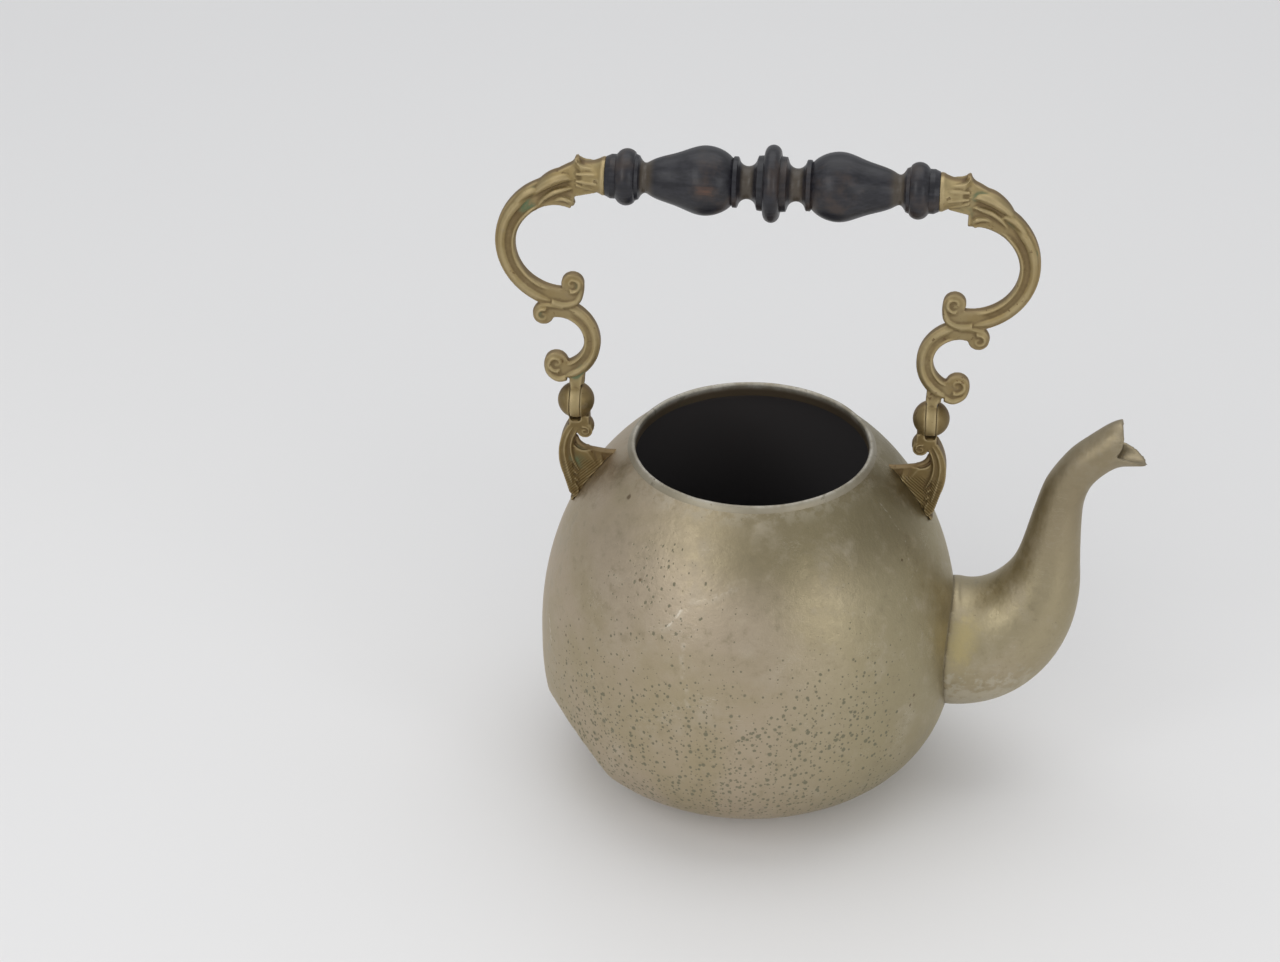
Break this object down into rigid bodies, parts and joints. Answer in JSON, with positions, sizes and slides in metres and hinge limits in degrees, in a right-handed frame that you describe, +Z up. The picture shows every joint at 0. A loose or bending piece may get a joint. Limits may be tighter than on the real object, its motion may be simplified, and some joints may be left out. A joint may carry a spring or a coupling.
{
  "type": "tea kettle",
  "caption": "Old nickel-plated brass tea kettle, low round body, curved spout, no lid, and a swinging bail of two cast scroll arms and a turned black wooden grip.",
  "frame": {"origin": "centre of the flat base, on the table", "axes": "+Z up, +X towards the spout along the line of the bail, +Y across to the far side seen from the picture"},
  "size_m": [0.2016, 0.133, 0.2185],
  "materials": {
    "plate": "worn dull nickel plate over brass, pitted low on the front",
    "rim": "worn dull nickel plate, stained",
    "brass": "dull tarnished cast brass, brown in the recesses",
    "pins": "dark dressed pin ends",
    "ebonised_wood": "ebonised, satin, worn brown at the ridges",
    "iron": "dull iron rod, hidden in the grip"
  },
  "bodies": {
    "kettle": {"body_shell": "plate", "rim_ring": "rim", "spout": "plate", "front_ear": "brass", "back_ear": "brass", "front_hinge_pin": "pins", "back_hinge_pin": "pins"},
    "bail": {"front_arm": "brass", "back_arm": "brass", "grip": "ebonised_wood", "tie_rod": "iron", "front_arm_pin": "pins", "back_arm_pin": "pins"}
  },
  "joints": [
    {"name": "bail_swing", "type": "hinge", "parent": "kettle", "child": "bail", "pos_m": [0, 0, 0.1284], "axis": [1, 0, 0], "range_deg": [-110, 110]}
  ]
}
